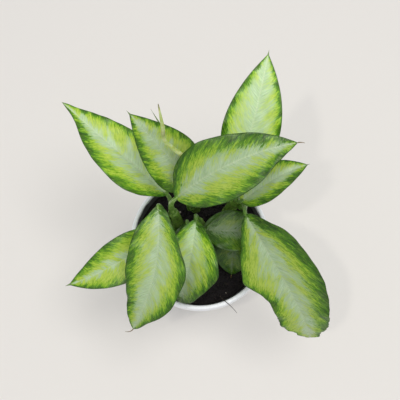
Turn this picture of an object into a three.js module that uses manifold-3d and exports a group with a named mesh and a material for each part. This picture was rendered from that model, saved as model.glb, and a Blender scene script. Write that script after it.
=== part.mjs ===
// A potted dieffenbachia: four short canes in a white plastic pot, each cane
// carrying variegated leaves on fleshy stalks, and one new leaf still rolled up.
//
// Millimetres, +Z up. The origin is the centre of the pot's flat underside.
// A heading is a compass angle in the XY plane, counted from +X towards +Y.

import * as THREE from 'three';
import { mergeVertices } from 'three/addons/utils/BufferGeometryUtils.js';
import Module from 'manifold-3d';

const wasm = await Module();
wasm.setup();

// ---------------------------------------------------------------- dimensions

const GAP = 0.3; // clearance between pieces that touch
const ROUND_SIDES = 48; // facets round the pot and the soil

const POT = {
  height: 130,
  rimRadius: 75, // outside of the lip
  mouthRadius: 71, // inside of the lip
  lipHeight: 18,
  lipStep: 2.6, // how far the lip stands out from the wall
  footRadius: 54,
  footRound: 4,
  wall: 2.2,
  floor: 3,
  bevel: 1,
};
const DRAIN = { count: 6, radius: 4, circle: 36, sides: 12 };

// Height of the soil at the wall, its rise to the middle, and the shoulder between.
const SOIL = { edge: 117, mound: 3, shoulderRadius: 40, shoulderRise: 2.1 };
const ROOTING_DEPTH = 26; // length of each cane below the soil's top

// Radii of a leaf's stalk, the length that turns into the blade, and what lies inside it.
const STALK = { foot: 3.4, neck: 2.1, bend: 7, intoBlade: 5, topGap: 0.5, steps: 8, sides: 8 };
const BLADE = { thickness: 1.2, endHalfWidth: 0.6, steps: 20 };

// Canes: where each leaves the soil, where it ends, and its radii there. The
// lower part stands straighter: bendShare and bendRise place the curve's bend.
const CANE_FORM = { bendShare: 0.4, bendRise: 10, steps: 6, sides: 10 };
const CANES = {
  left: { foot: [-21, 15], top: [-27, 13, 200], radii: [6.5, 5] },
  back: { foot: [-4, 37], top: [-8, 40, 174], radii: [6, 4.6] },
  centre: { foot: [5, 12], top: [-2, 13, 163], radii: [5.5, 4.2] },
  right: { foot: [26, 30], top: [40, 30, 188], radii: [6.5, 5] },
};

// Leaves. attach is the height on the cane, or 'top' for the one that continues
// it, and side is the compass angle of the cane's flank that the stalk leaves.
// base is where the blade starts. heading and pitch give its direction there,
// sweep and droop how far they have turned at the tip, and roll tips the right
// half down. fold is the angle of each half above flat. A regular blade has its
// width, and shoulder and taper, the exponents of its blunt and pointed ends. An
// uneven one has halves instead: its half widths to the left and to the right of
// the midrib at every twentieth of its length.
const TYPICAL = { shoulder: 0.65, taper: 1.02, fold: 13 };
const LEAVES = [
  { name: 'leaf_upper_left', cane: 'left', attach: 170, side: 115, base: [-31, 23, 225],
    heading: 142, sweep: -5, pitch: 21, droop: -26, roll: 13, length: 136, halves: [
      [10, 16.5, 22, 25.5, 28, 29, 29, 29, 28, 27,
        25, 22.5, 19.5, 16, 12, 8, 5, 3, 1.5],
      [13, 19, 22.5, 25, 26, 26.5, 26.5, 26, 25.5, 24.5,
        23, 21, 18.5, 16, 13.5, 10.5, 7.5, 5, 3]] },
  { name: 'leaf_over_crown', cane: 'left', attach: 'top', base: [-22, 12, 251],
    heading: 30, sweep: -18, pitch: 40, droop: -46, roll: 10, length: 124, halves: [
      [9.5, 17.5, 23, 26.5, 28.5, 29.5, 30, 29.5, 28, 26.5,
        25, 23, 21, 19, 16.5, 13.5, 10.5, 7, 3.5],
      [11, 17, 21.5, 24.5, 26.5, 28.5, 30, 30.5, 31, 30.5,
        29.5, 28.5, 26.5, 23.5, 19.5, 15.5, 12, 8, 4.5]] },
  { name: 'leaf_front_left', cane: 'left', attach: 180, side: 200, base: [-40, 12, 224],
    heading: -83, sweep: -46, pitch: -4, droop: -53, roll: 5, length: 139, fold: 8, halves: [
      [9, 11, 14, 17.5, 20.5, 23.5, 28, 31, 32, 30.5,
        29, 28.5, 27, 23.5, 19.5, 14.5, 10.5, 7.5, 4.5],
      [9, 16, 21.5, 24, 26, 27, 27.5, 28, 28, 27,
        25.5, 24, 22.5, 20.5, 18.5, 16.5, 13.5, 10.5, 7]] },
  { name: 'leaf_low_left', cane: 'left', attach: 140, side: 250, base: [-38, -2, 174],
    heading: -138, sweep: -29, pitch: 5, droop: -28, roll: -10, length: 116, width: 47 },
  { name: 'leaf_low_middle', cane: 'left', attach: 132, side: 345, base: [-13, 7, 174],
    heading: -90, sweep: 4, pitch: -4, droop: -46, roll: 6, length: 66, width: 36 },
  { name: 'leaf_steep', cane: 'back', attach: 146, side: 235, base: [-10, 36, 221],
    heading: 153, sweep: -14, pitch: 73, droop: -38, roll: -11, length: 111, width: 52 },
  { name: 'leaf_behind', cane: 'back', attach: 138, side: 95, base: [-12, 52, 198],
    heading: 130, sweep: -4, pitch: 66, droop: -36, roll: -5, length: 84, width: 24 },
  { name: 'leaf_front_middle', cane: 'centre', attach: 'top', base: [-4, 7, 191],
    heading: -96, sweep: -14, pitch: -5, droop: -56, roll: 5, length: 97, fold: 12, halves: [
      [7.5, 11, 15, 19, 23, 26, 28, 30, 32, 33,
        31.5, 28.5, 25.5, 22.5, 19.5, 17, 14.5, 11.5, 6.5],
      [7.5, 12, 16, 18.5, 21, 23, 24.5, 25.5, 25.5, 25.5,
        25.5, 24.5, 23, 21.5, 19.5, 16.5, 13.5, 10, 5.5]] },
  { name: 'leaf_shaded', cane: 'centre', attach: 142, side: 300, base: [3, 1, 172],
    heading: -3, sweep: -4, pitch: 4, droop: -21, roll: -1, length: 81, width: 44 },
  { name: 'leaf_upright', cane: 'right', attach: 164, side: 100, base: [38, 45, 224],
    heading: 72, sweep: 7, pitch: 49, droop: -39, roll: 0, length: 120, width: 55 },
  { name: 'leaf_right', cane: 'right', attach: 'top', base: [40, 20, 211],
    heading: 34, sweep: -15, pitch: 37, droop: -46, roll: -16, length: 77, width: 42 },
  { name: 'leaf_hanging_right', cane: 'right', attach: 182, side: 305, base: [44, 8, 206],
    heading: -61, sweep: 8, pitch: 8, droop: -79, roll: 39, length: 168, fold: 9, halves: [
      [11.5, 17.5, 24, 30.5, 34.5, 37, 38.5, 40.5, 41, 40,
        37.5, 35.5, 32.5, 29.5, 27, 24, 20.5, 14, 10.5],
      [11, 17, 22, 27, 31.5, 35, 38, 38, 32.5, 27,
        24.5, 23.5, 23.5, 24, 25, 24, 20, 12.5, 9.5]] },
  { name: 'leaf_lowest', cane: 'right', attach: 132, side: 250, base: [35, 4, 158],
    heading: -92, sweep: 0, pitch: -14, droop: -50, roll: 8, length: 56, width: 40 },
];

// The rolled new leaf: a spindle that stands on the back cane.
const SPEAR = {
  name: 'leaf_rolled',
  through: [
    [-8, 40, 175], [-1, 38, 218], [-7, 41, 249], [-16, 46, 270],
    [-24.5, 48, 285], [-30.5, 49.5, 301], [-31, 54, 319], [-33, 62, 347]],
  radii: [2.6, 2.6, 2.6, 2.4, 2.2, 1.6, 1.9, 0.5],
  steps: 21,
  sides: 8,
};

const COLOURS = {
  pot: 0xe9ecf2,
  soil: 0x1d1712,
  cane: 0x6f8c3c,
  leaf: 0x86a53f,
  spear: 0xc3cf86,
};

// ------------------------------------------------------------------- helpers

const radians = THREE.MathUtils.degToRad;
const vector = (p) => new THREE.Vector3(...p);

function material(color, roughness) {
  return new THREE.MeshStandardMaterial({ color, roughness, metalness: 0, flatShading: true });
}

// A closed solid through a stack of rings with the same even number of points,
// each ring running anticlockwise as seen looking back along the stack.
function loft(rings) {
  const n = rings[0].length;
  const last = (rings.length - 1) * n;
  const index = [];
  for (let i = 0; i < rings.length - 1; i++) {
    for (let j = 0; j < n; j++) {
      const a = i * n + j;
      const b = i * n + ((j + 1) % n);
      index.push(a, b, b + n, a, b + n, a + n);
    }
  }
  for (let j = 0; j < n / 2 - 1; j++) {
    const k = n - 1 - j; // the point across the ring from j
    index.push(j, k, k - 1, j, k - 1, j + 1);
    index.push(last + j, last + j + 1, last + k - 1, last + j, last + k - 1, last + k);
  }
  const geometry = new THREE.BufferGeometry().setFromPoints(rings.flat());
  geometry.setIndex(index);
  return geometry;
}

// A round bar along a curve, with its radius given as a function of 0 to 1.
function taperedBar(curve, steps, sides, radiusAt) {
  const frames = curve.computeFrenetFrames(steps, false);
  const rings = [];
  for (let i = 0; i <= steps; i++) {
    const centre = curve.getPointAt(i / steps);
    const ring = [];
    for (let j = 0; j < sides; j++) {
      const angle = (2 * Math.PI * j) / sides;
      const radius = radiusAt(i / steps);
      ring.push(centre.clone()
        .addScaledVector(frames.normals[i], radius * Math.cos(angle))
        .addScaledVector(frames.binormals[i], radius * Math.sin(angle)));
    }
    rings.push(ring);
  }
  return loft(rings);
}

function toSolid(geometry) {
  const bare = geometry.clone();
  bare.deleteAttribute('normal');
  bare.deleteAttribute('uv');
  const merged = mergeVertices(bare, 1e-4);
  return new wasm.Manifold(new wasm.Mesh({
    numProp: 3,
    vertProperties: merged.attributes.position.array,
    triVerts: new Uint32Array(merged.index.array),
  }));
}

function toGeometry(solid) {
  const { vertProperties, triVerts } = solid.getMesh();
  const geometry = new THREE.BufferGeometry();
  geometry.setAttribute('position', new THREE.BufferAttribute(vertProperties, 3));
  geometry.setIndex(new THREE.BufferAttribute(triVerts, 1));
  return geometry;
}

// A lathe turned about Z from [radius, height] pairs.
function turned(profile, segments) {
  const points = profile.map(([r, z]) => new THREE.Vector2(r, z));
  return new THREE.LatheGeometry(points, segments).rotateX(Math.PI / 2);
}

function named(name, geometry, finish) {
  const mesh = new THREE.Mesh(geometry, finish);
  mesh.name = name;
  return mesh;
}

// ----------------------------------------------------------------------- pot

// Outer radius of the wall at a height, and the inside surface that follows it.
function wallRadius(z) {
  const top = POT.rimRadius - POT.lipStep;
  return THREE.MathUtils.mapLinear(z, 0, POT.height, POT.footRadius, top);
}
const insideRadius = (z) => wallRadius(z) - POT.wall;

function makePot() {
  const lipBottom = POT.height - POT.lipHeight;
  const { bevel } = POT;
  const profile = [
    [0, 0],
    [POT.footRadius - POT.footRound, 0],
    [POT.footRadius - bevel, bevel],
    [wallRadius(POT.footRound), POT.footRound],
    [wallRadius(lipBottom), lipBottom],
    [POT.rimRadius - bevel, lipBottom],
    [POT.rimRadius, lipBottom + bevel],
    [POT.rimRadius, POT.height - bevel],
    [POT.rimRadius - bevel, POT.height],
    [POT.mouthRadius + bevel, POT.height],
    [POT.mouthRadius, POT.height - bevel],
    [insideRadius(lipBottom), lipBottom],
    [insideRadius(POT.floor), POT.floor],
    [0, POT.floor],
  ];
  let pot = toSolid(turned(profile, ROUND_SIDES));
  for (let i = 0; i < DRAIN.count; i++) {
    const length = 4 * POT.floor; // well past both faces of the floor
    const drill = new THREE.CylinderGeometry(DRAIN.radius, DRAIN.radius, length, DRAIN.sides);
    drill.rotateX(Math.PI / 2);
    const angle = (2 * Math.PI * i) / DRAIN.count;
    drill.translate(DRAIN.circle * Math.cos(angle), DRAIN.circle * Math.sin(angle), 0);
    pot = pot.subtract(toSolid(drill));
  }
  return named('pot', toGeometry(pot), material(COLOURS.pot, 0.3));
}

// --------------------------------------------------------------------- canes

function caneCurve(cane, deeper = 0) {
  const [x, y] = cane.foot;
  const top = vector(cane.top);
  const soilTop = SOIL.edge + SOIL.mound;
  const bottom = new THREE.Vector3(x, y, soilTop - ROOTING_DEPTH - deeper);
  const bend = new THREE.Vector3(x, y, soilTop).lerp(top, CANE_FORM.bendShare);
  bend.z += CANE_FORM.bendRise;
  return new THREE.QuadraticBezierCurve3(bottom, bend, top);
}

const caneRadius = (cane, t) => THREE.MathUtils.lerp(cane.radii[0], cane.radii[1], t);

function makeCane(key, grow = 0) {
  const cane = CANES[key];
  const { steps, sides } = CANE_FORM;
  const radiusAt = (t) => caneRadius(cane, t) + grow;
  const bar = taperedBar(caneCurve(cane, grow), steps, sides, radiusAt);
  return named(`cane_${key}`, bar, material(COLOURS.cane, 0.6));
}

// ---------------------------------------------------------------------- soil

function makeSoil() {
  const bottom = POT.floor + GAP;
  const profile = [
    [0, bottom],
    [insideRadius(bottom) - GAP, bottom],
    [insideRadius(SOIL.edge) - GAP, SOIL.edge],
    [SOIL.shoulderRadius, SOIL.edge + SOIL.shoulderRise],
    [0, SOIL.edge + SOIL.mound],
  ];
  let soil = toSolid(turned(profile, ROUND_SIDES));
  for (const key of Object.keys(CANES)) {
    soil = soil.subtract(toSolid(makeCane(key, GAP).geometry));
  }
  return named('soil', toGeometry(soil), material(COLOURS.soil, 0.95));
}

// -------------------------------------------------------------------- leaves

// The point a leaf's stalk starts from: over its cane's end, or beside its flank.
function stalkStart(leaf) {
  const cane = CANES[leaf.cane];
  const curve = caneCurve(cane);
  if (leaf.attach === 'top') {
    return vector(cane.top).addScaledVector(curve.getTangentAt(1), STALK.topGap);
  }
  let t = 1;
  while (curve.getPointAt(t).z > leaf.attach) t -= 0.01; // steps down to the height asked
  const reach = caneRadius(cane, t) + STALK.foot + GAP;
  const side = radians(leaf.side);
  return curve.getPointAt(t).add(
    new THREE.Vector3(reach * Math.cos(side), reach * Math.sin(side), 0));
}

// A stalk hugs its cane at first, so it leaves in the direction of the cane's upper part.
function caneDirection(leaf) {
  const upperPart = 0.8;
  return caneCurve(CANES[leaf.cane]).getTangentAt(leaf.attach === 'top' ? 1 : upperPart);
}

function bladeDirection(leaf, t) {
  const heading = radians(leaf.heading + leaf.sweep * t);
  const pitch = radians(leaf.pitch + leaf.droop * t);
  return {
    heading,
    forward: new THREE.Vector3(
      Math.cos(pitch) * Math.cos(heading), Math.cos(pitch) * Math.sin(heading), Math.sin(pitch)),
  };
}

// The value at 0 to 1 along a list of evenly spaced ones.
function along(list, t) {
  const place = t * (list.length - 1);
  const i = Math.min(Math.floor(place), list.length - 2);
  return THREE.MathUtils.lerp(list[i], list[i + 1], place - i);
}

// Half width at 0 to 1 along the midrib: blunt at the base and tapering to the tip.
// side is below zero for the left half.
function halfWidth(leaf, t, side) {
  if (leaf.halves) {
    const half = along([0, ...leaf.halves[side < 0 ? 0 : 1], 0], t);
    return Math.max(BLADE.endHalfWidth, half);
  }
  const widest = leaf.shoulder / (leaf.shoulder + leaf.taper);
  const share = Math.pow(t / widest, leaf.shoulder)
    * Math.pow((1 - t) / (1 - widest), leaf.taper);
  return Math.max(BLADE.endHalfWidth, (leaf.width / 2) * share);
}

function bladeSolid(leaf) {
  const { steps, thickness } = BLADE;
  const across = [-1, -0.5, 0, 0.5, 1]; // left margin to right margin
  const fold = radians(leaf.fold);
  const centre = vector(leaf.base);
  const rings = [];
  for (let i = 0; i <= steps; i++) {
    const t = i / steps;
    const { heading, forward } = bladeDirection(leaf, t);
    const right = new THREE.Vector3(Math.sin(heading), -Math.cos(heading), 0)
      .applyAxisAngle(forward, radians(leaf.roll));
    const up = right.clone().cross(forward);
    const ring = [];
    for (const face of [0.5, -0.5]) {
      const order = face > 0 ? across : [...across].reverse();
      for (const s of order) {
        const half = halfWidth(leaf, t, s);
        ring.push(centre.clone()
          .addScaledVector(right, s * half * Math.cos(fold))
          .addScaledVector(up, Math.abs(s) * half * Math.sin(fold) + face * thickness));
      }
    }
    rings.push(ring);
    const ahead = bladeDirection(leaf, t + 0.5 / steps).forward;
    centre.addScaledVector(ahead, leaf.length / steps);
  }
  return toSolid(loft(rings));
}

function stalkSolid(leaf) {
  const start = stalkStart(leaf);
  const base = vector(leaf.base);
  const { forward } = bladeDirection(leaf, 0);
  const end = base.clone().addScaledVector(forward, STALK.intoBlade);
  const pull = start.distanceTo(base) / 2;
  const curve = new THREE.CubicBezierCurve3(
    start,
    start.clone().addScaledVector(caneDirection(leaf), pull),
    base.clone().addScaledVector(forward, -STALK.bend),
    end,
  );
  const radiusAt = (t) => THREE.MathUtils.lerp(STALK.foot, STALK.neck, t);
  return toSolid(taperedBar(curve, STALK.steps, STALK.sides, radiusAt));
}

function makeLeaf(entry) {
  const leaf = { ...TYPICAL, ...entry };
  const solid = bladeSolid(leaf).add(stalkSolid(leaf));
  const start = stalkStart(leaf); // the mesh's own origin is the foot of its stalk
  const geometry = toGeometry(solid).translate(-start.x, -start.y, -start.z);
  const mesh = named(leaf.name, geometry, material(COLOURS.leaf, 0.45));
  mesh.position.copy(start);
  return mesh;
}

function makeSpear() {
  const curve = new THREE.CatmullRomCurve3(SPEAR.through.map(vector));
  const bar = taperedBar(curve, SPEAR.steps, SPEAR.sides, (t) => along(SPEAR.radii, t));
  return named(SPEAR.name, bar, material(COLOURS.spear, 0.5));
}

// ------------------------------------------------------------------ assembly

const plant = new THREE.Group();
for (const key of Object.keys(CANES)) plant.add(makeCane(key));
for (const entry of LEAVES) plant.add(makeLeaf(entry));
plant.add(makeSpear());

const pottedDieffenbachia = new THREE.Group();
pottedDieffenbachia.add(makePot(), makeSoil(), plant);

export default pottedDieffenbachia;
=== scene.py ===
# %% [markdown]
# # A potted dieffenbachia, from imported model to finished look
#
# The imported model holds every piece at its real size: a white plastic pot, the
# soil in it, four short canes, thirteen open leaves and one that is still rolled.
# This script grows the fine surface of each piece round those solids. It works in
# millimetres, because leaves and pots are measured so, and turns to metres only
# where a mesh is handed to Blender.

# %% Load the frame
import math

import bmesh
import bpy
import numpy as np
from mathutils import Matrix, Vector, noise


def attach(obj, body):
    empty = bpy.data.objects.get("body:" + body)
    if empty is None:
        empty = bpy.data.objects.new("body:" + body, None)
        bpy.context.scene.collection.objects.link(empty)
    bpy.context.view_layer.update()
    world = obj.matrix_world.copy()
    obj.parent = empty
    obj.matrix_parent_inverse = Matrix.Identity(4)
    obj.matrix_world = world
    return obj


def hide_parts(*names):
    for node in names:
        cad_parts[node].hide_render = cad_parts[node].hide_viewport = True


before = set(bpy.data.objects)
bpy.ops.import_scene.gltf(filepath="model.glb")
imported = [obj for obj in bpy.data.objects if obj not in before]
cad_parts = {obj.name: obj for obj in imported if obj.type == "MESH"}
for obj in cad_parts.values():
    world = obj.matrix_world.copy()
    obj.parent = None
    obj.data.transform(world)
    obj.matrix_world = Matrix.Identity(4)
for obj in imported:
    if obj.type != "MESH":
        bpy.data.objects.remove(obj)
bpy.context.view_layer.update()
MM = 0.001

# %% [markdown]
# ## Small helpers
#
# Colours are picked as sRGB hex values, the way a paint chip or a leaf is matched, but shaders work in
# linear light. One function turns the one into the other, and one function adds a shader node with its
# settings and links, so that each material below reads as a list of what it is made of.

# %% Colour and node helpers
def linear(hex_colour):
    channels = [int(hex_colour[i:i + 2], 16) / 255 for i in (1, 3, 5)]
    return [c / 12.92 if c <= 0.04045 else ((c + 0.055) / 1.055) ** 2.4 for c in channels] + [1]


def add(tree, kind, settings=None, **inputs):
    """Adds a node. settings are its own properties; inputs are socket values or links."""
    node = tree.nodes.new(kind)
    for key, value in (settings or {}).items():
        setattr(node, key, value)
    for key, value in inputs.items():
        name = key.replace("_", " ")
        socket = node.inputs[int(key[1:])] if key[1:].isdigit() else node.inputs[name]
        if isinstance(value, bpy.types.NodeSocket):
            tree.links.new(value, socket)
        else:
            socket.default_value = value
    return node


def new_material(name):
    material = bpy.data.materials.new(name)
    material.use_nodes = True
    material.node_tree.nodes.clear()
    return material, material.node_tree


def finish_material(tree, shader):
    add(tree, "ShaderNodeOutputMaterial", Surface=shader.outputs[0])


def ramp(tree, factor, stops):
    """A colour ramp from (position, hex colour) pairs."""
    node = add(tree, "ShaderNodeValToRGB", Fac=factor)
    elements = node.color_ramp.elements
    while len(elements) < len(stops):
        elements.new(0.5)
    for element, (position, colour) in zip(elements, stops):
        element.position = position
        element.color = linear(colour)
    return node.outputs["Color"]


print("white is", linear("#ffffff"), "mid grey is", [round(c, 3) for c in linear("#808080")])

# %% [markdown]
# ## Meshes from arrays
#
# Leaves, stalks and the pot are all grids of points: rings or rows that are joined
# to their neighbours. Making the whole grid as one array is quick, and it keeps the
# plant's own measures (how far a point is from the midrib or from the margin) ready
# to be stored on the mesh, where the materials can read them.

# %% Mesh helpers
def make_object(name, points_mm, faces, materials, face_materials=None):
    mesh = bpy.data.meshes.new(name)
    mesh.from_pydata((np.asarray(points_mm) * MM).tolist(), [], faces)
    for material in materials:
        mesh.materials.append(material)
    if face_materials is not None:
        mesh.polygons.foreach_set("material_index", face_materials)
    mesh.polygons.foreach_set("use_smooth", [True] * len(mesh.polygons))
    mesh.update()
    thing = bpy.data.objects.new(name, mesh)
    bpy.context.scene.collection.objects.link(thing)
    return thing


def store(thing, name, values):
    attribute = thing.data.attributes.new(name, "FLOAT", "POINT")
    attribute.data.foreach_set("value", np.asarray(values, np.float32).ravel())


def hand_over(thing, slot, *nodes):
    """Every piece rides on the one body and may stand for CAD nodes, which are hidden; slot is not
    used.
    """
    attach(thing, "root")
    if nodes:
        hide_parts(*nodes)


def tube_faces(rows, sides, first=0, closed_ends=True):
    """Quads between rings of the same number of points, with the two ends filled."""
    faces = []
    for i in range(rows - 1):
        for j in range(sides):
            a = first + i * sides + j
            b = first + i * sides + (j + 1) % sides
            faces.append((a, b, b + sides, a + sides))
    if closed_ends:
        faces.append(tuple(first + j for j in reversed(range(sides))))
        faces.append(tuple(first + (rows - 1) * sides + j for j in range(sides)))
    return faces


def frames_along(path):
    """Unit tangents, and two normals carried along the path without twisting."""
    tangents = np.gradient(path, axis=0)
    tangents /= np.linalg.norm(tangents, axis=1)[:, None]
    guess = np.array([1.0, 0, 0]) if abs(tangents[0][0]) < 0.9 else np.array([0, 1.0, 0])
    sides = []
    for tangent in tangents:
        guess = guess - tangent * guess.dot(tangent)
        guess /= np.linalg.norm(guess)
        sides.append(guess.copy())
    sides = np.array(sides)
    return tangents, sides, np.cross(tangents, sides)


def bezier(points, count):
    """A Bezier curve of any degree, by repeated blending of its control points."""
    t = np.linspace(0, 1, count)[:, None, None]
    layer = np.repeat(np.array(points, float)[None], count, axis=0)
    while layer.shape[1] > 1:
        layer = layer[:, :-1] * (1 - t) + layer[:, 1:] * t
    return layer[:, 0]


def smooth_step(x, low, high):
    x = np.clip((x - low) / (high - low), 0, 1)
    return x * x * (3 - 2 * x)


def ripple(x, seed):
    """A smooth wandering value of about -1 to 1, from a few sines that never repeat together."""
    return (np.sin(x + seed * 1.7) + 0.6 * np.sin(2.3 * x + seed * 3.1)
            + 0.4 * np.sin(4.1 * x + seed * 5.3)) / 1.6


print("helpers ready")

# %% [markdown]
# ## The plant's own measures
#
# These are the same few numbers that shape the solids: where each cane stands, and for each leaf where
# its blade starts, the way it heads and how it droops. Repeating them here lets a fine blade follow its
# plain solid to the millimetre, which no amount of pulling the solid about would do. halves are half
# widths to the left and right of the midrib at every twentieth of the length. dark is the width of the
# dark green margin on each side and thread the length of the dried hair that ends some leaves, both in
# mm. cusp is the share of the length that is a narrow drip tip and pale the spread of the silvery
# centre. The light and shade pair, from base to tip, is painted light and shade: below 1 it darkens
# leaves low in the crown towards deep green as painted shade where other leaves shade them, and above 1
# it brightens leaves as painted light where they catch it.

# %% Canes and leaves, in millimetres and degrees
CANES = {
    "left": dict(foot=(-21, 15), top=(-27, 13, 200), radii=(6.5, 5)),
    "back": dict(foot=(-4, 37), top=(-8, 40, 174), radii=(6, 4.6)),
    "centre": dict(foot=(5, 12), top=(-2, 13, 163), radii=(5.5, 4.2)),
    "right": dict(foot=(26, 30), top=(40, 30, 188), radii=(6.5, 5)),
}
TYPICAL = dict(width=0, shoulder=0.65, taper=1.02, fold=13, halves=None, cusp=0.03, drip=0.17,
               thread=0, curl=0, dark=(4, 4), pale=1, painted_light_and_shade=(1, 1), fade=0.7, wave=1.2, ragged=0)
LEAVES = {
    "upper_left": dict(
        cane="left", attach=170, side=115, base=(-31, 23, 225), heading=142, sweep=-5,
        pitch=21, droop=-26, roll=13, length=136, dark=(3.5, 2), pale=0.9, painted_light_and_shade=(1.2, 1.22),
        wave=0.8, halves=(
            (10, 16.5, 22, 25.5, 28, 29, 29, 29, 28, 27,
             25, 22.5, 19.5, 16, 12, 8, 5, 3, 1.5),
            (13, 19, 22.5, 25, 26, 26.5, 26.5, 26, 25.5, 24.5,
             23, 21, 18.5, 16, 13.5, 10.5, 7.5, 5, 3))),
    "over_crown": dict(
        cane="left", attach="top", base=(-22, 12, 251), heading=30, sweep=-18,
        pitch=40, droop=-46, roll=10, length=124, thread=6, curl=25, dark=(4.6, 3.6),
        pale=0.85, painted_light_and_shade=(0.83, 0.96), wave=0.8, halves=(
            (9.5, 17.5, 23, 26.5, 28.5, 29.5, 30, 29.5, 28, 26.5,
             25, 23, 21, 19, 16.5, 13.5, 10.5, 7, 3.5),
            (11, 17, 21.5, 24.5, 26.5, 28.5, 30, 30.5, 31, 30.5,
             29.5, 28.5, 26.5, 23.5, 19.5, 15.5, 12, 8, 4.5))),
    "front_left": dict(
        cane="left", attach=180, side=200, base=(-40, 12, 224), heading=-83, sweep=-46,
        pitch=-4, droop=-53, roll=5, length=139, fold=8, thread=13, curl=50, dark=(3.4, 3.4),
        pale=1.1, painted_light_and_shade=(0.97, 0.9), halves=(
            (9, 11, 14, 17.5, 20.5, 23.5, 28, 31, 32, 30.5,
             29, 28.5, 27, 23.5, 19.5, 14.5, 10.5, 7.5, 4.5),
            (9, 16, 21.5, 24, 26, 27, 27.5, 28, 28, 27,
             25.5, 24, 22.5, 20.5, 18.5, 16.5, 13.5, 10.5, 7))),
    "low_left": dict(
        cane="left", attach=140, side=250, base=(-38, -2, 174), heading=-138, sweep=-29,
        pitch=5, droop=-28, roll=-10, length=116, width=47, cusp=0.04, dark=(2.2, 2.8), pale=0.45,
        painted_light_and_shade=(1.15, 1.05)),
    "low_middle": dict(
        cane="left", attach=132, side=345, base=(-13, 7, 174), heading=-90, sweep=4,
        pitch=-4, droop=-46, roll=6, length=66, width=36, dark=(6, 6), painted_light_and_shade=(0.55, 0.55), wave=0.6),
    "steep": dict(
        cane="back", attach=146, side=235, base=(-10, 36, 221), heading=153, sweep=-14,
        pitch=73, droop=-38, roll=-11, length=111, width=52, dark=(3.2, 2),
        pale=1.1, painted_light_and_shade=(0.98, 1)),
    "behind": dict(
        cane="back", attach=138, side=95, base=(-12, 52, 198), heading=130, sweep=-4,
        pitch=66, droop=-36, roll=-5, length=84, width=24, cusp=0.2, drip=0.05, dark=(3, 3),
        wave=0.4),
    "front_middle": dict(
        cane="centre", attach="top", base=(-4, 7, 191), heading=-96, sweep=-14,
        pitch=-5, droop=-56, roll=5, length=97, fold=12, dark=(4, 3), pale=1.1, fade=0,
        painted_light_and_shade=(1.5, 0.5), halves=(
            (7.5, 11, 15, 19, 23, 26, 28, 30, 32, 33,
             31.5, 28.5, 25.5, 22.5, 19.5, 17, 14.5, 11.5, 6.5),
            (7.5, 12, 16, 18.5, 21, 23, 24.5, 25.5, 25.5, 25.5,
             25.5, 24.5, 23, 21.5, 19.5, 16.5, 13.5, 10, 5.5))),
    "shaded": dict(
        cane="centre", attach=142, side=300, base=(3, 1, 172), heading=-3, sweep=-4,
        pitch=4, droop=-21, roll=-1, length=81, width=44, dark=(5, 6), painted_light_and_shade=(0.5, 0.45),
        wave=0.8),
    "upright": dict(
        cane="right", attach=164, side=100, base=(38, 45, 224), heading=72, sweep=7,
        pitch=49, droop=-39, roll=0, length=120, width=55, dark=(2.4, 2), pale=1.6,
        painted_light_and_shade=(1.3, 1.36)),
    "right": dict(
        cane="right", attach="top", base=(40, 20, 211), heading=34, sweep=-15,
        pitch=37, droop=-46, roll=-16, length=77, width=42, dark=(2, 3), pale=0.8,
        painted_light_and_shade=(0.95, 0.98), wave=0.6),
    "hanging_right": dict(
        cane="right", attach=182, side=305, base=(44, 8, 206), heading=-61, sweep=8,
        pitch=8, droop=-79, roll=39, length=168, fold=9, cusp=0, dark=(6, 3), pale=1.0,
        painted_light_and_shade=(0.88, 0.93), wave=1.3, ragged=0.8, halves=(
            (11.5, 17.5, 24, 30.5, 34.5, 37, 38.5, 40.5, 41, 40,
             37.5, 35.5, 32.5, 29.5, 27, 24, 20.5, 14, 10.5),
            (11, 17, 22, 27, 31.5, 35, 38, 38, 32.5, 27,
             24.5, 23.5, 23.5, 24, 25, 24, 20, 12.5, 9.5))),
    "lowest": dict(
        cane="right", attach=132, side=250, base=(35, 4, 158), heading=-92, sweep=0,
        pitch=-14, droop=-50, roll=8, length=56, width=40, thread=7, curl=5, dark=(5, 5),
        pale=0.5, painted_light_and_shade=(0.42, 0.4), wave=0.6),
}
SPEAR = dict(
    through=[(-8, 40, 175), (-1, 38, 218), (-7, 41, 249), (-16, 46, 270),
             (-24.5, 48, 285), (-30.5, 49.5, 301), (-31, 54, 319), (-33, 62, 347)],
    radii=(2.6, 2.6, 2.6, 2.4, 2.2, 1.6, 1.9, 0.5))
POT = dict(height=130, rim=75, mouth=71, lip_height=18, lip_step=2.6, foot=54,
           wall=2.2, floor=3)
DRAIN = dict(count=6, radius=4, circle=36)
SOIL = dict(edge=117, mound=3, depth=26)
SCAR_HEIGHTS = (128, 137, 147, 158, 170, 183)  # leaf scars round the canes
WALL_SHADE_FADE = (128.5, 131.5)  # the heights over which the painted shade on the pot's inner wall ends
STALK = dict(foot=3.4, bend=7, top_gap=0.5, gap=0.3)
print(len(LEAVES), "open leaves on", len(CANES), "canes")

# %% [markdown]
# ## Camera, floor and light
#
# The plant is seen from almost straight above, a little towards its front, by a
# lens of medium length about 70 cm away. The camera comes first, since everything
# is judged through it. The light is that of a bright room: a broad soft light high
# on the right, a small ceiling bulb on the left that puts glints on the wax, an even
# sky, and a pale floor that bounces light up under the leaves.

# %% Camera
CAMERA = dict(distance=716, pot_angle=12.2, tilt=15.6, lens=59.67)
camera_data = bpy.data.cameras.new("camera")
camera_data.lens = CAMERA["lens"]
camera = bpy.data.objects.new("camera", camera_data)
pot_angle = math.radians(CAMERA["pot_angle"])
camera.location = Vector((0, -CAMERA["distance"] * math.sin(pot_angle),
                          POT["height"] + CAMERA["distance"] * math.cos(pot_angle))) * MM
camera.rotation_euler = (math.radians(CAMERA["tilt"]), 0, 0)
bpy.context.scene.collection.objects.link(camera)
bpy.context.scene.camera = camera
bpy.context.scene.view_settings.view_transform = "Standard"
print("camera at", [round(c, 3) for c in camera.location])

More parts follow.
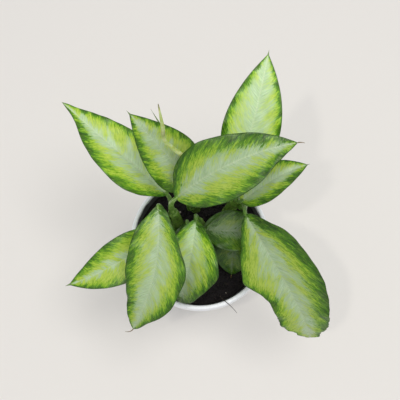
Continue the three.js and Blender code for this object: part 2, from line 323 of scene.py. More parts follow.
# %% Floor and lights
floor_material, tree = new_material("pale_floor")
finish_material(tree, add(tree, "ShaderNodeBsdfPrincipled", Base_Color=linear("#e2deda"),
                          Roughness=0.75, Specular_IOR_Level=0.2))
floor = make_object("floor", [(-3000, -3000, 0), (3000, -3000, 0), (3000, 3000, 0), (-3000, 3000, 0)],
                    [(0, 1, 2, 3)], [floor_material])

world = bpy.data.worlds.new("soft_sky")
world.use_nodes = True
world.node_tree.nodes["Background"].inputs["Color"].default_value = linear("#f4f6f8")
world.node_tree.nodes["Background"].inputs["Strength"].default_value = 0.78
bpy.context.scene.world = world


def soft_lamp(name, place, target, size, watts, colour):
    data = bpy.data.lights.new(name, "AREA")
    data.shape = "DISK"
    data.size = size
    data.energy = watts
    data.color = linear(colour)[:3]
    lamp = bpy.data.objects.new(name, data)
    lamp.location = place
    lamp.rotation_euler = (Vector(target) - Vector(place)).to_track_quat("-Z", "Y").to_euler()
    bpy.context.scene.collection.objects.link(lamp)


plant_middle = (0, 0, 0.2)
soft_lamp("window_light", (0.35, 0.0, 1.85), plant_middle, 0.8, 11, "#fffdf8")
soft_lamp("bare_bulb", (-0.35, -0.3, 1.6), plant_middle, 0.08, 2.5, "#fffaf0")
print("lit by a broad light, a bulb and the sky")

# %% [markdown]
# ## The leaf's skin
#
# A variegated dieffenbachia leaf is waxy living tissue. Its colour lies in three
# zones: a dark green margin, a lime band, and a silvery centre where the cells hold
# little green. The zones don't meet in clean lines. They break up in streaks and
# flecks that run along the side veins, because the green cells follow the veins.
# So the pattern is laid out not in straight axes but in the leaf's own measures,
# stored on each point: rim_mm is the distance to the margin, vein_mm stays the same
# along one side vein, off_mm is the distance from the midrib and share is that
# distance as a share of the half width. Noise is then stretched along the veins,
# 0.9 mm across by 8 mm long for the silky strokes and 1.7 by 3.6 mm for the marbling.
#
# A waxy leaf has an IOR near 1.45, no metal, and a satin roughness near 0.3. A
# little subsurface scatter, greenest of all, lets light into its 0.7 mm of wet tissue.

# %% Leaf material
def attribute(tree, name):
    return add(tree, "ShaderNodeAttribute", {"attribute_name": name}).outputs["Fac"]


def calc(tree, operation, a, b=0.0, clamp=False):
    return add(tree, "ShaderNodeMath", {"operation": operation, "use_clamp": clamp},
               _0=a, _1=b).outputs[0]


def band(tree, value, low, high):
    """0 below low, 1 above high, and smooth between."""
    return add(tree, "ShaderNodeMapRange", {"interpolation_type": "SMOOTHSTEP"},
               Value=value, From_Min=low, From_Max=high).outputs[0]


def mix(tree, factor, a, b):
    """Blends two colours; sockets 0, 6 and 7 are the factor and the colours."""
    return add(tree, "ShaderNodeMix", {"data_type": "RGBA"}, _0=factor, _6=a, _7=b).outputs[2]


def vein_noise(tree, across, along, seed_shift, detail=3.0):
    """Noise stretched along the side veins: across and along are grain sizes in mm."""
    x = calc(tree, "DIVIDE", attribute(tree, "vein_mm"), across)
    y = calc(tree, "DIVIDE", attribute(tree, "off_mm"), along)
    z = calc(tree, "ADD", attribute(tree, "seed"), seed_shift)
    place = add(tree, "ShaderNodeCombineXYZ", X=x, Y=y, Z=z)
    return add(tree, "ShaderNodeTexNoise", Vector=place.outputs[0], Scale=1.0, Detail=detail,
               Roughness=0.6).outputs[0]


def leaf_material(name, lower_face):
    material, tree = new_material(name)
    feather = vein_noise(tree, 0.9, 8, 0)
    marble = vein_noise(tree, 1.7, 3.6, 20, 5)
    cloud = vein_noise(tree, 9, 16, 40, 2)
    fleck = vein_noise(tree, 1.0, 2.6, 60, 2)
    rim = attribute(tree, "rim_mm")
    share = attribute(tree, "share")

    def swing(value, reach):
        """A noise value turned to about -reach/4 to reach/4."""
        return calc(tree, "MULTIPLY", calc(tree, "SUBTRACT", value, 0.5), reach)

    # How many margin widths in from the edge a point seems to be, once noise has its say.
    steps_in = calc(tree, "DIVIDE", rim, attribute(tree, "dark"))
    inward = steps_in
    for value, reach in ((marble, 7.0), (cloud, 7.0), (feather, 2.4)):
        inward = calc(tree, "ADD", inward, swing(value, reach))
    zones = ramp(tree, calc(tree, "DIVIDE", inward, 4.8, clamp=True),
                 [(0.0, "#1b3a06"), (0.2, "#2f5d09"), (0.3, "#4c8010"), (0.44, "#7ba31e"),
                  (0.72, "#9ab536"), (1.0, "#a7bc4b")])

    # The lime is mottled with mid green, and loose dark flecks lie in it, fewer and
    # fewer towards the midrib.
    mottle = calc(tree, "SUBTRACT", 1.0, band(tree, marble, 0.38, 0.56))
    zones = mix(tree, calc(tree, "MULTIPLY", mottle, 0.5), zones, linear("#6f9726"))
    loose = calc(tree, "SUBTRACT", 1.0, band(tree, fleck, 0.38, 0.44))
    loose = calc(tree, "MULTIPLY", loose, calc(tree, "SUBTRACT", 1.0, band(tree, steps_in, 0.8, 6.0)))
    colour = mix(tree, calc(tree, "MULTIPLY", loose, 0.85), zones, linear("#3a6814"))

    # The silvery centre fades out in feathered strokes along the side veins. Its grey-green is the
    # centre's own colour, cooled towards blue as painted sky reflection.
    centre_at = calc(tree, "ADD", share, swing(feather, 1.1))
    centre_at = calc(tree, "ADD", centre_at, swing(cloud, 1.5))
    centre_at = calc(tree, "ADD", centre_at, swing(marble, 0.8))
    centre_at = calc(tree, "DIVIDE", centre_at, attribute(tree, "pale"))
    silver = calc(tree, "SUBTRACT", 1.0, band(tree, centre_at, 0.0, 0.6))
    silver = calc(tree, "MULTIPLY", silver, band(tree, inward, 1.0, 2.4))
    silver_and_reflection = ramp(tree, feather, [(0.3, "#95ab89"), (0.5, "#a7bd9f"), (0.7, "#bfd1b8")])
    colour = mix(tree, calc(tree, "MULTIPLY", silver, 0.85), colour, silver_and_reflection)

    # A thin dark line painted along the margin's edge, as painted shade for an edge that rolls under,
    # and a faint midrib.
    line = calc(tree, "SUBTRACT", 1.0, band(tree, rim, 0.2, 0.9))
    colour = mix(tree, calc(tree, "MULTIPLY", line, 0.75), colour, linear("#2b480e"))
    off = calc(tree, "ABSOLUTE", attribute(tree, "off_mm"))
    rib = calc(tree, "SUBTRACT", 1.0, band(tree, off, 0.2, 1.2))
    colour = mix(tree, calc(tree, "MULTIPLY", rib, 0.2), colour, linear("#c3d0a2"))
    # Painted light and shade, per leaf from base to tip: below 1 the colour is mixed towards deep green
    # as painted shade for leaves that others shade, above 1 it is scaled brighter as painted light.
    painted_light_and_shade = attribute(tree, "painted_light_and_shade")
    painted_crown_shade = calc(tree, "SUBTRACT", 1.0, painted_light_and_shade)
    colour = mix(tree, calc(tree, "MULTIPLY", painted_crown_shade, 1.25, clamp=True), colour, linear("#24400c"))
    colour = add(tree, "ShaderNodeVectorMath", {"operation": "SCALE"}, _0=colour,
                 Scale=calc(tree, "MAXIMUM", painted_light_and_shade, 1.0)).outputs[0]
    colour = mix(tree, attribute(tree, "dry"), colour, linear("#6e5a38"))
    if lower_face:
        colour = mix(tree, 0.45, colour, linear("#8fa564"))

    # The skin is quilted by fine side veins and has a silky grain along them.
    height = calc(tree, "ADD", calc(tree, "MULTIPLY", feather, 1.2), fleck)
    bump = add(tree, "ShaderNodeBump", Strength=0.4, Distance=0.3 * MM, Height=height)
    rough = calc(tree, "ADD", 0.5 if lower_face else 0.2, calc(tree, "MULTIPLY", fleck, 0.18))
    finish_material(tree, add(
        tree, "ShaderNodeBsdfPrincipled", Base_Color=colour, Roughness=rough, IOR=1.45,
        Specular_IOR_Level=0.35, Subsurface_Weight=0.1, Subsurface_Radius=(0.6, 1.0, 0.3),
        Subsurface_Scale=1.2 * MM, Normal=bump.outputs[0]))
    return material


leaf_upper = leaf_material("waxy_leaf_upper", lower_face=False)
leaf_lower = leaf_material("waxy_leaf_lower", lower_face=True)
print("leaf nodes:", len(leaf_upper.node_tree.nodes))

# %% [markdown]
# ## A leaf's blade
#
# The blade is a sheet about 0.7 mm thick that follows the midrib. It could be cut
# from a plane and bent with modifiers, but a grid in the leaf's own measures is
# simpler: one direction runs from base to tip, the other from margin to margin.
# Each half rises from the midrib in a soft curve, the margins wave, the side veins
# quilt the surface a little, and below, the midrib stands out as a keel.

# %% Blade geometry
ALONG, ACROSS = 160, 46  # rows and columns of the grid
VEIN_SPACING = 3.4


def directions(leaf, t):
    heading = np.radians(leaf["heading"] + leaf["sweep"] * t)
    pitch = np.radians(leaf["pitch"] + leaf["droop"] * t)
    forward = np.stack([np.cos(pitch) * np.cos(heading), np.cos(pitch) * np.sin(heading),
                        np.sin(pitch)], axis=-1)
    level = np.stack([np.sin(heading), -np.cos(heading), 0 * heading], axis=-1)
    upright = np.cross(level, forward)
    roll = math.radians(leaf["roll"])
    right = level * math.cos(roll) - upright * math.sin(roll)
    return forward, right, np.cross(right, forward)


def midrib(leaf, t):
    """Points along the midrib, by adding up short steps in the blade's direction."""
    centre = [np.array(leaf["base"], float)]
    for a, b in zip(t[:-1], t[1:]):
        forward = directions(leaf, np.array((a + b) / 2))[0]
        centre.append(centre[-1] + forward * leaf["length"] * (b - a))
    return np.array(centre)


def half_width(leaf, t, side):
    """Half width in mm at t from 0 to 1; side is -1 for the left half and 1 for the right."""
    if leaf["halves"]:
        row = np.array((0, *leaf["halves"][0 if side < 0 else 1], 0), float)
        half = np.interp(t, np.linspace(0, 1, len(row)), row)
        blunt = row[1] * np.clip(t * 20, 0, 1) ** 0.6
        half = np.where(t < 0.05, blunt, half)
        kernel = np.hanning(9) / np.hanning(9).sum()
        soft = np.convolve(np.pad(half, 4, mode="edge"), kernel, mode="valid")
        half = np.where((t > 0.03) & (t < 0.97), soft, half)
    else:
        body = np.clip(t / (1 - leaf["cusp"]), 1e-6, 1 - 1e-6)
        widest = leaf["shoulder"] / (leaf["shoulder"] + leaf["taper"])
        share = (body / widest) ** leaf["shoulder"]
        share = share * ((1 - body) / (1 - widest)) ** leaf["taper"]
        half = leaf["width"] / 2 * share
    half = half + leaf["ragged"] * smooth_step(t, 0.5, 0.9) * ripple(t * leaf["length"] / 1.9, side)
    drip = leaf["drip"] * (1 - t) * leaf["length"] * (leaf["cusp"] > 0)
    return np.maximum(np.maximum(half, np.minimum(drip, 2.2)), 0.12)


def blade_surface(leaf, seed):
    """Both faces of a blade as a grid of points, with the measures the skin needs."""
    t = (1 - np.cos(np.linspace(0, math.pi, ALONG))) / 2 * 0.35 + np.linspace(0, 1, ALONG) * 0.65
    s = np.sin(np.linspace(-math.pi / 2, math.pi / 2, ACROSS + 1)) * 0.4
    s = s + np.linspace(-1, 1, ACROSS + 1) * 0.6
    centre = midrib(leaf, t)
    _, right, up = directions(leaf, t)
    left_half, right_half = (half_width(leaf, t, side)[:, None] for side in (-1, 1))
    half = np.where(s < 0, left_half, right_half)
    away = np.abs(s) * half
    fold = math.radians(leaf["fold"])
    length_mm = t[:, None] * leaf["length"]
    vein_mm = length_mm - away * 0.75 - away ** 2 * 0.012

    lift = half * math.sin(fold) * (1.5 * np.abs(s) - 0.5 * s ** 2)
    side = np.where(s < 0, 3.0, 8.0) + seed
    wave = leaf["wave"] * np.abs(s) ** 2.5 * smooth_step(half, 2, 16)
    lift = lift + wave * ripple(length_mm / 9, side) * np.ones_like(s)
    quilt = np.cos(2 * math.pi * vein_mm / VEIN_SPACING + 1.5 * ripple(vein_mm / 8, seed))
    lift = lift - 0.07 * quilt * smooth_step(np.abs(s), 0.05, 0.3) * smooth_step(1 - np.abs(s), 0, 0.25)
    lift = lift + 0.7 * ripple(length_mm / 14 + s * 2.1, seed + 20) * smooth_step(half, 2, 12)

    groove = 0.35 * np.exp(-(away / 1.3) ** 2) * (1 - 0.6 * t[:, None])
    keel = (0.9 + 1.6 * (1 - t[:, None]) ** 1.5) * np.exp(-(away / 1.7) ** 2)
    keel = keel * smooth_step(half, 0.5, 4)
    thickness = 0.2 + 0.5 * smooth_step(1 - np.abs(s), 0, 0.06) * smooth_step(half, 0.3, 3)
    flat = centre[:, None] + right[:, None] * (s * half * math.cos(fold))[..., None]
    top = flat + up[:, None] * (lift - groove + thickness / 2)[..., None]
    bottom = flat + up[:, None] * (lift - thickness / 2 - keel)[..., None]
    measures = dict(vein_mm=vein_mm, off_mm=np.sign(s) * away, share=np.abs(s) * np.ones_like(half),
                    rim_mm=np.minimum(half - away, (1 - t[:, None]) * leaf["length"] * 0.8 + 0.3))
    return t, top, bottom, measures


def thread_points(leaf, start, forward, side, up):
    """The dried hair at a tip: it curls off to one side as it goes."""
    steps = 14
    bend = math.radians(leaf["curl"])
    points = [start]
    for i in range(steps):
        angle = bend * (i + 1) / steps
        way = forward * math.cos(angle) + side * math.sin(angle) + up * 0.15 * math.sin(2 * angle)
        points.append(points[-1] + way * leaf["thread"] / steps)
    return np.array(points)


def make_blade(name, leaf, seed):
    t, top, bottom, measures = blade_surface(leaf, seed)
    rows, columns = top.shape[:2]
    count = rows * columns
    points = np.concatenate([top.reshape(-1, 3), bottom.reshape(-1, 3)])
    faces, skins = [], []
    for i in range(rows - 1):
        for j in range(columns - 1):
            a = i * columns + j
            quad = (a, a + 1, a + 1 + columns, a + columns)
            faces += [quad, tuple(v + count for v in reversed(quad))]
            skins += [0, 1]
    rim = [i * columns for i in range(rows)]
    outline = rim + [(rows - 1) * columns + j for j in range(1, columns)]
    outline += [i * columns + columns - 1 for i in reversed(range(rows - 1))]
    outline += [j for j in reversed(range(1, columns - 1))]
    for a, b in zip(outline, outline[1:] + outline[:1]):
        faces.append((a, b, b + count, a + count))
        skins.append(0)
    values = {key: np.tile(value.ravel(), 2) for key, value in measures.items()}
    dry = smooth_step(np.repeat(t, columns), 0.985, 1.0) * 0.5
    values["dry"] = np.tile(dry, 2)
    values["along"] = np.tile(np.repeat(t, columns), 2)
    if leaf["thread"]:
        forward, right, up = directions(leaf, np.array(1.0))
        path = thread_points(leaf, (top[-1].mean(0) + bottom[-1].mean(0)) / 2, forward, right, up)
        _, side_a, side_b = frames_along(path)
        angles = np.arange(6) / 6 * 2 * math.pi
        radius = np.linspace(0.6, 0.2, len(path))[:, None, None]
        ring = (np.cos(angles)[:, None] * side_a[:, None] + np.sin(angles)[:, None] * side_b[:, None])
        tube = (path[:, None] + ring * radius).reshape(-1, 3)
        faces += tube_faces(len(path), 6, first=len(points))
        skins += [0] * (len(faces) - len(skins))
        points = np.concatenate([points, tube])
        for key in values:
            fill = dict(rim_mm=0.0, dry=1.0).get(key, 0.0)
            values[key] = np.concatenate([values[key], np.full(len(tube), fill)])
    blade = make_object("blade_" + name, points, faces, [leaf_upper, leaf_lower], skins)
    for key, value in values.items():
        store(blade, key, value)
    width = np.where(values["off_mm"] < 0, *leaf["dark"])
    faded = leaf["fade"] * smooth_step(values["along"], 0.7, 0.97)
    store(blade, "dark", width * (1 - faded))
    store(blade, "pale", np.full(len(points), float(leaf["pale"])))
    # Painted light and shade along the leaf, from base to tip.
    store(blade, "painted_light_and_shade", np.interp(values["along"], (0, 1), leaf["painted_light_and_shade"]))
    store(blade, "seed", np.full(len(points), seed * 7.3))
    hand_over(blade, "leaf", "leaf_" + name)
    return blade


blades = {}
for number, (name, entry) in enumerate(LEAVES.items()):
    LEAVES[name] = {**TYPICAL, **entry}
    blades[name] = make_blade(name, LEAVES[name], number + 1)
print("blades:", len(blades), "faces:", sum(len(b.data.polygons) for b in blades.values()))

# %% [markdown]
# ## Canes and stalks
#
# A cane is the plant's stem: green, as thick as a finger, and ringed with the scars
# of fallen leaves. A stalk leaves it in a sheath that first hugs the cane, then
# narrows and turns into the midrib of its blade. Both are tubes along a curve with
# a changing radius, so one function sweeps them all. The stalk's section is drawn
# in on its upper side, which gives the channel that carries water to the crown.

# %% Green stem material
def stem_material(name, light, deep, strand, scar):
    """Smooth green stem: mottled, with pale strands along it and darker scars round it."""
    material, tree = new_material(name)
    around = calc(tree, "DIVIDE", attribute(tree, "around_mm"), 0.8)
    lengthwise = calc(tree, "DIVIDE", attribute(tree, "along_mm"), 14.0)
    place = add(tree, "ShaderNodeCombineXYZ", X=around, Y=lengthwise).outputs[0]
    strands = add(tree, "ShaderNodeTexNoise", Vector=place, Scale=1.0, Detail=3.0).outputs[0]
    where = add(tree, "ShaderNodeNewGeometry").outputs["Position"]
    mottle = add(tree, "ShaderNodeTexNoise", Vector=where, Scale=1 / (5 * MM), Detail=4.0).outputs[0]
    colour = ramp(tree, mottle, [(0.35, deep), (0.65, light)])
    colour = mix(tree, band(tree, strands, 0.52, 0.68), colour, linear(strand))
    colour = mix(tree, attribute(tree, "scar"), colour, linear(scar))
    bump = add(tree, "ShaderNodeBump", Strength=0.35, Distance=0.3 * MM, Height=strands)
    finish_material(tree, add(
        tree, "ShaderNodeBsdfPrincipled", Base_Color=colour, Roughness=0.4, IOR=1.45,
        Subsurface_Weight=0.1, Subsurface_Radius=(0.6, 1.0, 0.3), Subsurface_Scale=1.5 * MM,
        Normal=bump.outputs[0]))
    return material


cane_skin = stem_material("green_cane_skin", "#6b9234", "#46691f", "#86a850", "#4a4c26")
stalk_skin = stem_material("fleshy_stalk_skin", "#5f8a2c", "#3f681c", "#a5bd74", "#8f8a55")


# %% Sweep a stem along a path
def sweep(name, path, radius, materials, scars, section=None, sides=24):
    _, side_a, side_b = frames_along(path)
    angles = np.arange(sides) / sides * 2 * math.pi
    shape = np.ones(sides) if section is None else section(angles)
    ring = (np.cos(angles)[:, None] * side_a[:, None] + np.sin(angles)[:, None] * side_b[:, None])
    points = path[:, None] + ring * (radius[:, None] * shape)[..., None]
    thing = make_object(name, points.reshape(-1, 3), tube_faces(len(path), sides), materials)
    steps = np.linalg.norm(np.diff(path, axis=0), axis=1)
    store(thing, "scar", np.repeat(scars, sides))
    store(thing, "along_mm", np.repeat(np.concatenate([[0], np.cumsum(steps)]), sides))
    store(thing, "around_mm", np.tile(np.sin(angles / 2) * 2 * math.pi, len(path)) * radius.mean())
    return thing


def cane_path(cane, count=60):
    x, y = cane["foot"]
    top = np.array(cane["top"], float)
    soil_top = SOIL["edge"] + SOIL["mound"]
    bottom = np.array([x, y, soil_top - SOIL["depth"]], float)
    bend = np.array([x, y, soil_top], float) * 0.6 + top * 0.4 + np.array([0, 0, 10])
    return bezier([bottom, bend, top], count)


for name, cane in CANES.items():
    path = cane_path(cane)
    t = np.linspace(0, 1, len(path))
    scars = sum(np.exp(-((path[:, 2] - z) / 0.9) ** 2) for z in SCAR_HEIGHTS)
    radius = np.interp(t, (0, 1), cane["radii"]) + 0.45 * scars
    radius[-4:] *= (0.96, 0.86, 0.66, 0.3)
    stem = sweep("stem_" + name, path, radius, [cane_skin], np.clip(scars, 0, 1) * 0.8)
    hand_over(stem, "cane_skin", "cane_" + name)
print("stems:", len(CANES))


# %% Leaf stalks
def stalk_start(leaf):
    """Where a stalk leaves its cane, and the cane's direction there."""
    cane = CANES[leaf["cane"]]
    path = cane_path(cane, 201)
    if leaf["attach"] == "top":
        way = path[-1] - path[-2]
        way /= np.linalg.norm(way)
        return path[-1] + way * STALK["top_gap"], way, np.zeros(3)
    index = int(np.argmax(path[:, 2] > leaf["attach"]))
    way = path[160] - path[159]
    way /= np.linalg.norm(way)
    radius = np.interp(index / 200, (0, 1), cane["radii"])
    side = math.radians(leaf["side"])
    outward = np.array([math.cos(side), math.sin(side), 0])
    return path[index] + outward * (radius + STALK["foot"] + STALK["gap"]), way, outward


def stalk_path(leaf):
    start, way, outward = stalk_start(leaf)
    base = np.array(leaf["base"], float)
    forward = directions(leaf, np.array(0.0))[0]
    pull = np.linalg.norm(base - start) / 2
    curve = bezier([start, start + way * pull, base - forward * STALK["bend"], base + forward * 3], 60)
    root = start - way * 12 - outward * 2.6  # the sheath's foot, pressed to the cane
    lead = bezier([root, start - way * 4 - outward * 1.2, start], 16)
    return np.concatenate([lead[:-1], curve])


def channelled(angles):
    return 1 - 0.28 * np.exp(-((angles - math.pi) / 0.5) ** 2)


for name, leaf in LEAVES.items():
    path = stalk_path(leaf)
    t = np.linspace(0, 1, len(path))
    radius = np.interp(t, (0, 0.1, 0.5, 1), (1.6, 3.6, 2.9, 1.7))
    stalk = sweep("stalk_" + name, path, radius, [stalk_skin], np.zeros(len(path)), channelled)
    hand_over(stalk, "leaf", "leaf_" + name)
print("stalks:", len(LEAVES))

# %% [markdown]
# ## The rolled leaf
#
# A new dieffenbachia leaf comes up as a tight, pale roll that opens from its upper
# edge. A cone would look like a stake, so the section is a spiral: its radius
# shrinks once round and then steps back, which leaves the overlapping edge of the
# roll as a real line along the spindle. It ends in a dry thread.

# %% Rolled leaf
def catmull(points, count):
    points = np.array(points, float)
    padded = np.vstack([2 * points[0] - points[1], points, 2 * points[-1] - points[-2]])
    out = []
    for u in np.linspace(0, len(points) - 1 - 1e-9, count):
        i = int(u)
        f = u - i
        a, b, c, d = padded[i:i + 4]
        out.append(0.5 * (2 * b + (c - a) * f + (2 * a - 5 * b + 4 * c - d) * f ** 2
                          + (3 * b - a - 3 * c + d) * f ** 3))
    return np.array(out)


def rolled_section(angles):
    return 1 - 0.3 * angles / (2 * math.pi)


young_skin, tree = new_material("young_leaf_skin")
place = add(tree, "ShaderNodeNewGeometry").outputs["Position"]
veil = add(tree, "ShaderNodeTexNoise", Vector=place, Scale=1 / (5 * MM), Detail=3.0)
young_colour = ramp(tree, veil.outputs[0], [(0.35, "#a9bd62"), (0.6, "#c9d396")])
young_colour = mix(tree, attribute(tree, "scar"), young_colour, linear("#5a5330"))
finish_material(tree, add(tree, "ShaderNodeBsdfPrincipled", Base_Color=young_colour,
                          Roughness=0.4, IOR=1.45, Subsurface_Weight=0.2,
                          Subsurface_Scale=2 * MM))
spear_path = catmull(SPEAR["through"], 110)
t = np.linspace(0, 1, len(spear_path))
spear_radius = np.interp(t, np.linspace(0, 1, len(SPEAR["radii"])), SPEAR["radii"])
spear_radius = np.minimum(spear_radius, 0.35 + 16 * (1 - t))
# The dry tip is browned, and a brownish band near 0.79 of the length is painted shade where the roll's
# seam lies in shadow.
spear_dry_and_seam_shade = 0.9 * smooth_step(t, 0.96, 1.0)
spear_dry_and_seam_shade += 0.4 * np.exp(-((t - 0.79) / 0.05) ** 2)
spear = sweep("rolled_blade", spear_path, spear_radius, [young_skin],
              spear_dry_and_seam_shade, rolled_section, sides=36)
hand_over(spear, "young_leaf", "leaf_rolled")
print("rolled leaf height", round(float(spear_path[-1][2])), "mm")

# %% [markdown]
# ## The pot
#
# The pot is injection-moulded polypropylene: white with a trace of blue pigment,
# about 2 mm thick, with a stiff lip. Moulded parts have no sharp edges, so the
# profile rounds every corner with a small arc. Spinning a profile is how a potter
# or a lathe would make it, and many sides keep it round in any view. The drain
# holes are cut with a boolean, then the modifier is applied.
#
# Polypropylene has an IOR of 1.49 and leaves a polished mould at a roughness of about 0.3. Handling
# adds faint scuffs. On the inside, the wall is painted nearly black up to just under the mouth: painted
# shade for the dark inside of the pot.

# %% Pot material
white_plastic, tree = new_material("white_polypropylene")
place = add(tree, "ShaderNodeNewGeometry").outputs["Position"]
scuff = add(tree, "ShaderNodeTexNoise", Vector=place, Scale=1 / (9 * MM), Detail=6.0)
dust = add(tree, "ShaderNodeTexNoise", Vector=place, Scale=1 / (2.2 * MM), Detail=5.0)
plastic_colour = ramp(tree, dust.outputs[0], [(0.30, "#e6e9ee"), (0.5, "#f2f4f9")])
plastic_rough = calc(tree, "ADD", 0.22, calc(tree, "MULTIPLY", scuff.outputs[0], 0.2))
# Painted shade: nearer the axis than mid wall and below a wavy line just under the mouth, the plastic
# is mixed nearly to black and made rougher. It also darkens the pot's underside.
axes = add(tree, "ShaderNodeSeparateXYZ", Vector=place)
flat = add(tree, "ShaderNodeCombineXYZ", X=axes.outputs["X"], Y=axes.outputs["Y"])
from_axis = add(tree, "ShaderNodeVectorMath", {"operation": "LENGTH"},
                Vector=flat.outputs[0]).outputs["Value"]
wall_slope = (POT["rim"] - POT["lip_step"] - POT["foot"]) / POT["height"]
mid_wall = calc(tree, "ADD", calc(tree, "MULTIPLY", axes.outputs["Z"], wall_slope),
                (POT["foot"] - POT["wall"] / 2) * MM)
within = calc(tree, "LESS_THAN", from_axis, mid_wall)  # nearer the axis than mid wall
wall_shade_edge = calc(tree, "ADD", axes.outputs["Z"], calc(tree, "MULTIPLY", scuff.outputs[0], 0.006))
below = calc(tree, "SUBTRACT", 1.0, band(tree, wall_shade_edge, *(z * MM for z in WALL_SHADE_FADE)))
painted_wall_shade = calc(tree, "MULTIPLY", calc(tree, "MULTIPLY", within, below), 0.93)
plastic_colour = mix(tree, painted_wall_shade, plastic_colour, linear("#1a1412"))
plastic_rough = calc(tree, "ADD", plastic_rough, calc(tree, "MULTIPLY", painted_wall_shade, 0.4))
finish_material(tree, add(tree, "ShaderNodeBsdfPrincipled", Base_Color=plastic_colour,
                          Roughness=plastic_rough, IOR=1.49))


# %% Pot geometry
def rounded_profile(corners):
    """A polyline of (radius, height, rounding) with each corner turned into an arc."""
    points = []
    for i, (r, z, rounding) in enumerate(corners):
        here = np.array([r, z], float)
        if rounding == 0:
            points.append(here)
            continue
        before, after = (np.array(corners[k][:2], float) for k in (i - 1, i + 1))
        a = here + (before - here) / np.linalg.norm(before - here) * rounding
        b = here + (after - here) / np.linalg.norm(after - here) * rounding
        for f in np.linspace(0, 1, 7):
            points.append(a * (1 - f) ** 2 + here * 2 * f * (1 - f) + b * f ** 2)
    return np.array(points)


def wall_radius(z):
    return POT["foot"] + (POT["rim"] - POT["lip_step"] - POT["foot"]) * z / POT["height"]


def inside(z):
    return wall_radius(z) - POT["wall"]


def spin(name, profile, sides, materials):
    """Turns a profile that starts and ends on the axis about Z."""
    ring = profile[1:-1]
    angles = np.arange(sides) / sides * 2 * math.pi
    around = np.stack([np.cos(angles), np.sin(angles)], axis=1)
    points = np.concatenate([
        (ring[:, None, 0, None] * around[None]), np.repeat(ring[:, 1], sides).reshape(-1, sides, 1)
    ], axis=2).reshape(-1, 3)
    faces = tube_faces(len(ring), sides, closed_ends=False)
    first, last = len(points), len(points) + 1
    points = np.vstack([points, [0, 0, profile[0][1]], [0, 0, profile[-1][1]]])
    top = (len(ring) - 1) * sides
    for j in range(sides):
        k = (j + 1) % sides
        faces.append((first, k, j))
        faces.append((last, top + j, top + k))
    return make_object(name, points, faces, materials)


lip_bottom = POT["height"] - POT["lip_height"]
pot_profile = rounded_profile([
    (0, 0, 0),
    (POT["foot"] - 0.8, 0, 3),
    (wall_radius(lip_bottom), lip_bottom, 0.6),
    (POT["rim"], lip_bottom, 1),
    (POT["rim"], POT["height"], 1.6),
    (POT["mouth"], POT["height"], 1.6),
    (inside(lip_bottom), lip_bottom, 6),
    (inside(POT["floor"]), POT["floor"], 2),
    (0, POT["floor"], 0),
])
pot = spin("pot_moulding", pot_profile, 160, [white_plastic])
drills = []
for i in range(DRAIN["count"]):
    angle = 2 * math.pi * i / DRAIN["count"]
    bpy.ops.mesh.primitive_cylinder_add(
        vertices=32, radius=DRAIN["radius"] * MM, depth=12 * MM,
        location=(DRAIN["circle"] * MM * math.cos(angle), DRAIN["circle"] * MM * math.sin(angle), 0))
    drill = bpy.context.object
    cut = pot.modifiers.new("drain", "BOOLEAN")
    cut.object = drill
    cut.solver = "EXACT"
    drills.append(drill)
evaluated = pot.evaluated_get(bpy.context.evaluated_depsgraph_get())
cut_mesh = bpy.data.meshes.new_from_object(evaluated)
pot.modifiers.clear()
pot.data = cut_mesh
for drill in drills:
    bpy.data.objects.remove(drill)
pot.data.polygons.foreach_set("use_smooth", [True] * len(pot.data.polygons))
pot.data.set_sharp_from_angle(angle=math.radians(40))
hand_over(pot, "pot_plastic", "pot")
print("pot faces:", len(pot.data.polygons))

# %% [markdown]
# ## The soil
#
# Potting soil is damp peat with bark crumbs and a few white perlite grains. Wet peat is dark because
# water fills the gaps that would scatter light, and its colour here is darkened further to near black:
# painted shade for the soil inside the pot under the leaves. The bed is a disc whose rings are pushed
# up and down by noise, closed below so that it is a real body, and several hundred crumbs lie loose on
# it.

# %% Soil material and bed
peat_with_painted_shade, tree = new_material("peat_with_painted_shade")
place = add(tree, "ShaderNodeNewGeometry").outputs["Position"]
grain = add(tree, "ShaderNodeTexNoise", Vector=place, Scale=1 / (2.5 * MM), Detail=8.0)
fibre = add(tree, "ShaderNodeTexVoronoi", Vector=place, Scale=1 / (1.5 * MM))
# Wet peat's own dark brown, darkened further to near black as painted shade for the inside of the pot.
peat_and_shade_colour = ramp(tree, grain.outputs[0],
                   [(0.35, "#0a0708"), (0.58, "#130e10"), (0.75, "#2a201a")])
peat_bump = add(tree, "ShaderNodeBump", Strength=0.8, Distance=0.8 * MM,
                Height=fibre.outputs["Distance"])
finish_material(tree, add(tree, "ShaderNodeBsdfPrincipled", Base_Color=peat_and_shade_colour,
                          Roughness=0.85, Specular_IOR_Level=0.3, Normal=peat_bump.outputs[0]))


def soil_height(x, y):
    """The bed's height in mm at a place: a low mound with lumps of two sizes."""
    r = math.hypot(x, y)
    mound = SOIL["edge"] + SOIL["mound"] * (1 - (r / 69) ** 2)
    lump = noise.noise(Vector((x / 14, y / 14, 3)))
    crumb = noise.noise(Vector((x / 4, y / 4, 9)))
    return mound + 1.1 * lump + 0.8 * crumb


radii = np.linspace(1, inside(SOIL["edge"]) - 0.3, 60)
rows = []
soil_sides = 150
for r in radii[::-1]:
    row = []
    for j in range(soil_sides):
        angle = 2 * math.pi * j / soil_sides
        x, y = r * math.cos(angle), r * math.sin(angle)
        row.append((x, y, soil_height(x, y)))
    rows.append(row)
floor_level = POT["floor"] + 0.3
floor_radius = inside(floor_level) - 0.3
ring = [(floor_radius * math.cos(2 * math.pi * j / soil_sides),
         floor_radius * math.sin(2 * math.pi * j / soil_sides), floor_level)
        for j in range(soil_sides)]
rows.insert(0, ring)
soil_bed = make_object("soil_bed", np.array(rows).reshape(-1, 3),
                       tube_faces(len(rows), soil_sides), [peat_with_painted_shade])
hand_over(soil_bed, "potting_soil", "soil")
print("soil bed faces:", len(soil_bed.data.polygons))

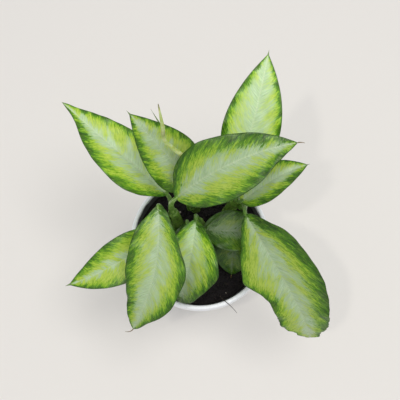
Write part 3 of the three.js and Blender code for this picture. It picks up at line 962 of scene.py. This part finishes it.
# %% Crumbs and perlite
rng = np.random.default_rng(7)


def scatter(name, count, size_range, flatness, material, slot):
    """Loose lumps on the soil: squashed, turned balls with a noisy outline, as one mesh."""
    bm = bmesh.new()
    for _ in range(count):
        r = (inside(SOIL["edge"]) - 3) * math.sqrt(rng.random())
        angle = rng.random() * 2 * math.pi
        x, y = r * math.cos(angle), r * math.sin(angle)
        size = size_range[0] + (size_range[1] - size_range[0]) * rng.random() ** 2
        made = bmesh.ops.create_icosphere(bm, subdivisions=2, radius=1.0)["verts"]
        stretch = Matrix.Diagonal((1, 0.6 + 0.4 * rng.random(), flatness, 1))
        turn = Matrix.Rotation(rng.random() * 2 * math.pi, 4, "Z")
        tip = Matrix.Rotation(rng.random() * 0.9, 4, "X")
        shift = Vector((x, y, 7 * rng.random()))
        for v in made:
            v.co *= 1 + 0.35 * noise.noise(v.co * 1.3 + shift)
            v.co = turn @ tip @ stretch @ v.co * size + Vector((x, y, soil_height(x, y) + size * 0.15))
    mesh = bpy.data.meshes.new(name)
    bm.to_mesh(mesh)
    bm.free()
    mesh.transform(Matrix.Scale(MM, 4))
    mesh.materials.append(material)
    mesh.polygons.foreach_set("use_smooth", [True] * len(mesh.polygons))
    thing = bpy.data.objects.new(name, mesh)
    bpy.context.scene.collection.objects.link(thing)
    hand_over(thing, slot)
    return thing


perlite_skin, tree = new_material("expanded_perlite")
place = add(tree, "ShaderNodeNewGeometry").outputs["Position"]
pores = add(tree, "ShaderNodeTexNoise", Vector=place, Scale=1 / (0.8 * MM), Detail=4.0)
perlite_colour = ramp(tree, pores.outputs[0], [(0.35, "#6b6259"), (0.6, "#b9b2a6")])
finish_material(tree, add(tree, "ShaderNodeBsdfPrincipled", Base_Color=perlite_colour,
                          Roughness=0.9))
crumbs = scatter("soil_crumbs", 900, (0.7, 2.6), 0.7, peat_with_painted_shade, "potting_soil")
perlite = scatter("perlite_grains", 14, (0.6, 1.3), 0.8, perlite_skin, "potting_soil")
print("crumb faces:", len(crumbs.data.polygons), "perlite faces:", len(perlite.data.polygons))

# %% [markdown]
# ## A stray root fibre
#
# One dry fibre from the soil lies over the front of the rim. It is a bent hair, a
# third of a millimetre thick, and says more than any scratch that this pot is in use.

# %% Root fibre
fibre_skin, tree = new_material("dry_root_fibre")
place = add(tree, "ShaderNodeNewGeometry").outputs["Position"]
patches = add(tree, "ShaderNodeTexNoise", Vector=place, Scale=1 / (2 * MM), Detail=2.0)
fibre_colour = ramp(tree, patches.outputs[0], [(0.4, "#1d1611"), (0.6, "#3d3229")])
finish_material(tree, add(tree, "ShaderNodeBsdfPrincipled", Base_Color=fibre_colour,
                          Roughness=0.8))
rim_top = POT["height"]
fibre_path = bezier([(21, -60, rim_top - 6), (24, -66, rim_top + 3), (31, -69, rim_top + 3),
                     (39, -78, rim_top - 7)], 40)
fibre_radius = np.interp(np.linspace(0, 1, 40), (0, 0.5, 1), (0.34, 0.4, 0.2))
root_fibre = sweep("root_fibre", fibre_path, fibre_radius, [fibre_skin], np.zeros(40), sides=8)
hand_over(root_fibre, "potting_soil")
print("fibre laid over the rim")
